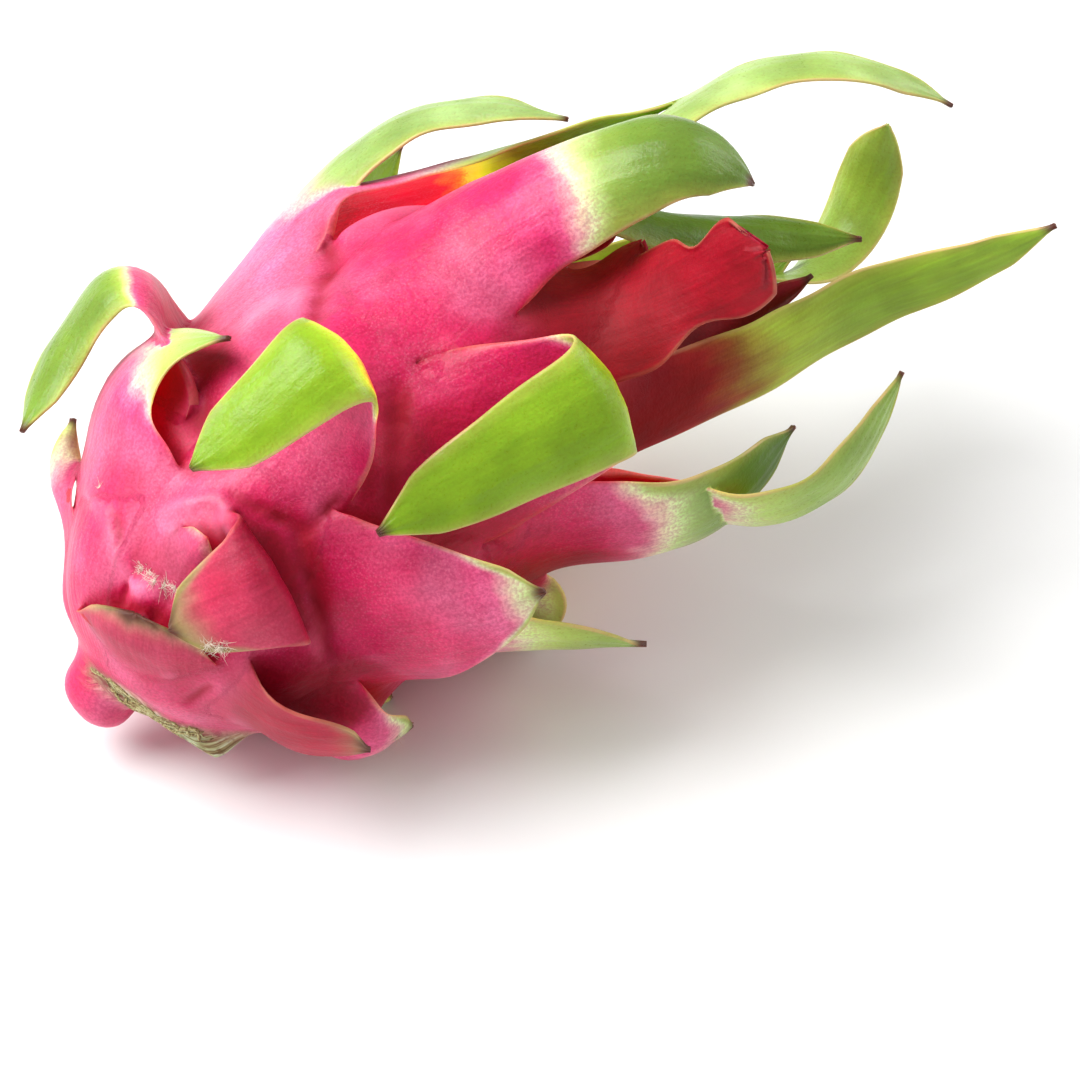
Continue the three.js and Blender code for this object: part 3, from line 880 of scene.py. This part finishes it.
# pairs of tones, mostly from darker to lighter, that multiply the colours above; the last pair is
# painted shade in the creases, on pink and on green skin
skinTones = {
    "leafy": ((1.7, 1.5, 1.05), (.42, .48, .28)), "mottled": ((.84, .84, .82), (1.12, 1.12, 1.14)),
    "streaky": ((.80, .70, .76), (1.14, 1.24, 1.18)), "grain": ((.85, .68, .78), (1.12, 1.34, 1.22)),
    "creaseShadeTones": ((.62, .10, .20), (.8, .85, .7)),
}
# how rough its grain is, and how much each kind of place adds. The relief is in mm
skinRough = {"grain": (.16, .30), "green": -.08, "red": .18, "line": .3, "crease": .2, "dry": .4}
skinRelief = {"grain": .16, "streaks": .2, "veins": .035, "dimples": .8, "fibres": 1.6, "bump": .5}
# the emission strength is that of the painted glow on the inner faces
skinShader = {"IOR": 1.35, "Subsurface Weight": .22, "Subsurface Radius": (1, .25, .2),
              "Subsurface Scale": .0025, "Emission Strength": 1}


def makeSkinFinish():
    finish, tree, shader = newFinish("waxy fruit skin")
    finish.cycles.emission_sampling = "NONE"
    place, flow = placeInMm(tree), field(tree, "flow", "Vector")
    face, edge, along, seenShare, dry, wax, red, inside = (field(tree, name) for name in (
        "face", "edge", "along", "seen", "dry", "wax", "red", "inside"))
    flecks = useGroup(fineFlecks, Place=place, Size=.6, Patch=14.0)
    grainy, streaks = flecks["Grain"], useGroup(growthStreaks, Flow=flow)
    broad, fine = streaks["Broad"], streaks["Fine"]

    # how far along the change from pink to green each point is
    clouds = noiseNode(place, .11, 1.5)
    onBlade = ease(along, .1, .4)
    notRed = maths("SUBTRACT", 1.0, red, clamp=True)
    restless = timesPlus(red, -1.2, 1.6)
    tint = nudge(broad, .8, nudge(clouds, restless, field(tree, "tint")))
    share = timesPlus(tint, .125, .5, clamp=True)
    outer, inner, crimson = (ramp(share, skinColours[name])
                             for name in ("outer", "inner", "crimson"))
    isGreen = ease(tint, 0, 1.4)
    isPink = ease(tint, -.2, -1.8)

    # waxy bloom and painted sheen on the outer faces, thickest where the skin is open to the light:
    # painted light
    patches = noiseNode(place, .045, 2.0)
    paintedOpenLight = ease(seenShare, .45, 1)
    bloomAndSheen = times(ease(patches, .38, .72, .03, .28), paintedOpenLight)
    bloomAndSheen = maths("ADD", bloomAndSheen, ease(wax, 1, 2.6, 0, .3))
    outer = blend(times(bloomAndSheen, isPink), outer, skinColours["bloomAndSheen"])
    glaucous = times(ease(patches, .35, .75, .12, .32), wax)
    glaucous = times(isGreen, maths("MINIMUM", glaucous, .85))
    outer = blend(glaucous, outer, skinColours["glaucous"])
    frost = times(ease(tint, -1.7, -.4), ease(tint, 1.8, .4))
    frost = times(frost, ease(wax, 1, 2.6, 0, .75))
    outer = blend(frost, outer, skinColours["frost"])
    colour = blend(inside, outer, inner)
    colour = blend(red, colour, crimson)

    leafy = blend(field(tree, "lush"), *skinTones["leafy"])
    colour = blend(isGreen, colour, leafy, "MULTIPLY")
    sunny = times(isGreen, ease(edge, .62, 1.05, 0, .5))
    colour = blend(sunny, colour, skinColours["margin"])
    mottled = blend(ease(clouds, .3, .7), *skinTones["mottled"])
    colour = shade(.7, colour, mottled)
    streaky = blend(ease(fine, .25, .8), *skinTones["streaky"])
    streakShare = timesPlus(isGreen, -.25, .45)
    streakShare = times(onBlade, timesPlus(red, .3, streakShare))
    colour = shade(streakShare, colour, streaky)

    # grain: fine pale flecks over slightly darker skin
    fleckShare = times(flecks["Flecks"], isPink)
    fleckShare = times(fleckShare, times(notRed, .12))
    colour = blend(fleckShare, colour, skinColours["fleck"])
    grain = blend(ease(grainy, .3, .7), *skinTones["grain"])
    grainShare = times(timesPlus(isGreen, -.65, .85), timesPlus(red, -.6, 1.0))
    colour = shade(grainShare, colour, grain)

    # painted shade: darker down in the creases and hollows, along the crease lines and at the root
    # margins of the scales
    crease = ease(seenShare, .85, .12)
    crease = times(crease, timesPlus(inside, -.85, .95))
    colour = shade(crease, colour, blend(isGreen, *skinTones["creaseShadeTones"]))
    line = times(field(tree, "line"), isPink)
    rootCreaseShade = times(ease(edge, .5, 1), ease(along, .3, .05))
    rootCreaseShade = times(times(rootCreaseShade, face), .65)
    paintedCreaseShade = maths("MAXIMUM", times(line, .92), rootCreaseShade)
    colour = blend(paintedCreaseShade, colour, skinColours["crease"])
    # a painted highlight along the ridges
    ridge = maths("MULTIPLY", line, -.4, clamp=True)
    colour = blend(ridge, colour, skinColours["ridge"])
    dullShare = times(field(tree, "dull"), ease(tint, -1.6, .4))
    colour = blend(dullShare, colour, skinColours["dull"])
    lip = times(ease(edge, .94, 1), ease(broad, .35, .7, .15, .6))
    lip = times(lip, ease(tint, -2.5, .5, .35, 1))
    colour = blend(lip, colour, skinColours["lip"])
    tip = nudge(broad, 5.0, field(tree, "tip"))
    colour = blend(ease(tip, -4, -.5), colour, skinColours["tip"])
    fibre = noiseNode(stretch(flow, (.15, 1.8, 1)), 1.0, 4.0, .7)
    fibre = ease(fibre, .3, .7)
    dryPatch = ease(noiseNode(place, .35, 3.0), .52, .66, 0, .7)
    dryColour = ramp(fibre, skinColours["dry"])
    dryColour = blend(dryPatch, dryColour, skinColours["dryDark"])
    colour = blend(dry, colour, dryColour)
    put(shader.inputs["Base Color"], colour)

    # painted glow: an emission on the inner faces of the thin scales that stands in for light coming
    # through them
    paintedGlow = times(times(inside, onBlade), notRed)
    paintedGlow = times(paintedGlow, ease(tint, 2.5, .5))
    paintedGlow = times(paintedGlow, ease(wax, 1, 2, .4, 1))
    put(shader.inputs["Emission Color"], blend(paintedGlow, (0, 0, 0), colour))

    rough = timesPlus(grainy, *skinRough["grain"])
    for name, mask in (("green", isGreen), ("red", red), ("line", paintedCreaseShade), ("crease", crease),
                       ("dry", dry)):
        rough = timesPlus(mask, skinRough[name], rough, clamp=True)
    put(shader.inputs["Roughness"], rough)
    for label, value in skinShader.items():
        shader.inputs[label].default_value = value

    across = times(addNode("SeparateXYZ", (flow,))["Y"], 2.1)
    veins = maths("SINE", timesPlus(broad, 3.0, across))
    height = times(grainy, skinRelief["grain"])
    for name, wave in (("streaks", times(fine, onBlade)), ("veins", veins),
                       ("dimples", noiseNode(place, .16, 4.0)),
                       ("fibres", times(fibre, dry))):
        height = timesPlus(wave, skinRelief[name], height)
    bump = addNode("Bump", {"Strength": skinRelief["bump"], "Distance": mm, "Height": height})
    put(shader.inputs["Normal"], bump[0])
    return finish


skinMesh.materials.append(makeSkinFinish())
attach(fruit, "root")
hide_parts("fruit")
print("stage: skin finished")


# woolly tufts where the skin once carried spines (station, turn, size), and fibres on the cut stem
wool = {
    "threads": 60, "length": 2.3, "thick": .11, "spread": 1.5, "curl": 1.6, "castFrom": 14,
    "tufts": [(15.5, 47, 1), (14.5, 44, .6), (19.2, 9, .5), (19, 13, .6), (18.7, 17, .5),
              (19, 21, .6), (19.8, 25, .5), (26.5, -22, .15), (31, 118, .5), (12, -130, .5),
              (28, 176, .4), (60, -150, .3), (58, 146, .3)],
}
fibres = {"count": 60, "length": (3, 12), "thick": .6, "wander": .7, "drift": .25, "castFrom": -30}


def placeOn(tree, start, way, dryOnly=False):
    # the first point of the skin from a start along a way, in mm, and its normal, or nothing
    found, normal, face, _ = tree.ray_cast(Vector(start) * mm, Vector(way))
    if found is None or dryOnly and fields[skinMesh.polygons[face].vertices[0], column["dry"]] < .5:
        return None, None
    return np.array(found) / mm, np.array(normal)


def makeThreads(name, paths, thick):
    # thin tubes that taper along their paths
    around = 5      # sides of a tube
    spin = np.linspace(0, 2 * np.pi, around, endpoint=False)
    points, faces, flow = [], [], []
    for number, path in enumerate(paths):
        path = np.array(path)
        ahead = np.gradient(path, axis=0)
        ahead /= np.linalg.norm(ahead, axis=1)[:, None]
        side = np.cross(ahead, (.31, .52, .79))
        side /= np.linalg.norm(side, axis=1)[:, None]
        over = np.cross(ahead, side)
        t = np.linspace(0, 1, len(path))
        size = thick[number] / 2 * (1 - .75 * t ** 2)
        first = len(points)
        for n in range(len(path)):
            ring = np.outer(np.cos(spin), side[n]) + np.outer(np.sin(spin), over[n])
            points += list(path[n] + ring * size[n])
            flow += [(t[n] * 8, k, number * 3.7) for k in range(around)]
        for n in range(len(path) - 1):
            for k in range(around):
                a, b = first + n * around + k, first + n * around + (k + 1) % around
                faces.append((a, b, b + around, a + around))
        last = first + (len(path) - 1) * around
        faces.append(tuple(range(first + around - 1, first - 1, -1)))
        faces.append(tuple(range(last, last + around)))
    mesh = bpy.data.meshes.new(name)
    mesh.from_pydata((np.array(points) * mm).tolist(), [], faces)
    giveField(mesh, "flow", np.array(flow))
    for face in mesh.polygons:
        face.use_smooth = len(face.vertices) == 4
    return addThing(name, mesh)


def tuftPaths(tree):
    paths, thick = [], []
    for at, turn, size in wool["tufts"]:
        out = layDown(onBody(at, turn) + outward(at, turn)) - layDown(onBody(at, turn))
        for thread in range(int(wool["threads"] * size)):
            sideways = np.cross(out, chance.normal(size=3))
            start = layDown(onBody(at, turn)) + sideways * wool["spread"] * size * chance.random()
            place, normal = placeOn(tree, start + out * wool["castFrom"], -out)
            if place is None:
                continue
            way = chance.normal(size=3) + normal * .3
            bend = chance.normal(size=3) * wool["curl"] - normal * .5
            t = np.linspace(0, 1, 7)[:, None]
            length = wool["length"] * (.4 + .6 * chance.random()) * (.5 + .5 * size)
            path = place - normal * .2 + (way * t + bend * t * t) * length / 2.2
            low = (path - place) @ normal
            path += np.outer(np.maximum(.1 * t[:, 0] - low, 0) * (t[:, 0] > 0), normal)
            path[:, 2] = np.maximum(path[:, 2], .2)
            paths.append(path)
            thick.append(wool["thick"] * (.6 + .8 * chance.random()))
    return paths, thick


def fibrePaths(tree):
    # strands lying along the cut stem
    paths, thick = [], []
    for strand in range(fibres["count"]):
        long = stub["offset"] + (chance.random() - .5) * stub["length"] * .86
        across = (chance.random() - .5) * stub["width"] * .8
        length = chance.uniform(*fibres["length"])
        drift = chance.normal() * fibres["drift"]
        path = []
        for t in np.linspace(-.5, .5, 12):
            z = long + t * length
            x = across + fibres["wander"] * math.sin(t * 7 + strand) + t * length * drift
            turnedX, turnedZ = acrossStem(x, z)
            start = layDown(np.array([fibres["castFrom"], -turnedX, turnedZ]))
            way = layDown(np.array([fibres["castFrom"] + 1, -turnedX, turnedZ])) - start
            place, normal = placeOn(tree, start, way, True)
            if place is not None and (not path or np.linalg.norm(place - path[-1]) < 4):
                path.append(place + normal * .1)
        if len(path) > 3:
            paths.append(path)
            thick.append(fibres["thick"] * (.5 + chance.random()))
    return paths, thick


threadColours = {
    "wool": [(0, (.42, .30, .20)), (.4, (.74, .62, .50)), (1, (.88, .83, .72))],
    "fibre": [(0, (.07, .035, .018)), (.35, (.26, .15, .055)), (.6, (.42, .36, .14)),
              (1, (.60, .60, .34))],
}


def makeThreadFinish(name, stops):
    finish, tree, shader = newFinish(name)
    fine = useGroup(growthStreaks, Flow=field(tree, "flow", "Vector"))["Fine"]
    flecks = useGroup(fineFlecks, Place=placeInMm(tree), Size=.5, Patch=4.0)
    mixed = timesPlus(flecks["Grain"], .5, times(fine, .6))
    put(shader.inputs["Base Color"], ramp(ease(mixed, .35, .72), stops))
    put(shader.inputs["Roughness"], timesPlus(fine, .3, .5))
    return finish


tufts = makeThreads("areole_wool", *tuftPaths(skinTree))
tufts.data.materials.append(makeThreadFinish("pale wool", threadColours["wool"]))
strands = makeThreads("stem_fibres", *fibrePaths(skinTree))
strands.data.materials.append(makeThreadFinish("dried fibre", threadColours["fibre"]))
for piece in (tufts, strands):
    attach(piece, "root")
print("stage: threads", len(tufts.data.polygons), len(strands.data.polygons), "faces")


# camera, light and floor, in metres and watts
camera = {"lens": 100.1, "sensor": 36,
          "place": (-.24041, -.39573, .49674), "aim": (.04601, -.03627, .03712)}
studio = {"centre": (.045, 0, .05), "sky": .45, "floor": 6, "floorShade": .86}
lights = [
    # name, towards (from the fruit), distance, size, watts
    ("key", (-.45, .4, .8), 1.3, 1.1, 25),
    ("fill", (-.95, .3, .4), 1.5, 1.0, 4),
    ("side", (.9, -.2, .55), 1.6, 1.2, 13),
]


def makeCamera():
    view = addThing("camera", bpy.data.cameras.new("camera"))
    view.data.lens = camera["lens"]
    view.data.sensor_width = camera["sensor"]
    view.location = camera["place"]
    way = Vector(camera["aim"]) - Vector(camera["place"])
    view.rotation_euler = way.to_track_quat("-Z", "Y").to_euler()
    bpy.context.scene.camera = view


def makeLights():
    centre = Vector(studio["centre"])
    for name, towards, distance, size, watts in lights:
        lamp = bpy.data.lights.new(name, "AREA")
        lamp.shape = "DISK"
        lamp.size = size
        lamp.energy = watts
        holder = addThing(name, lamp)
        holder.location = centre + Vector(towards).normalized() * distance
        holder.rotation_euler = (centre - holder.location).to_track_quat("-Z", "Y").to_euler()
    world = bpy.data.worlds.new("studio")
    bpy.context.scene.world = world
    world.use_nodes = True
    sky = world.node_tree.nodes["Background"].inputs
    sky["Color"].default_value = (1, 1, 1, 1)
    sky["Strength"].default_value = studio["sky"]


def makeFloor():
    size = studio["floor"]
    mesh = bpy.data.meshes.new("floor")
    mesh.from_pydata([(-size, -size, 0), (size, -size, 0), (size, size, 0), (-size, size, 0)], [],
                     [(0, 1, 2, 3)])
    finish, _, shader = newFinish("pale floor")
    put(shader.inputs["Base Color"], (studio["floorShade"],) * 3)
    shader.inputs["Roughness"].default_value = .9
    mesh.materials.append(finish)
    floor = addThing("floor", mesh)


bpy.context.scene.view_settings.view_transform = "Standard"
makeCamera()
makeLights()
makeFloor()
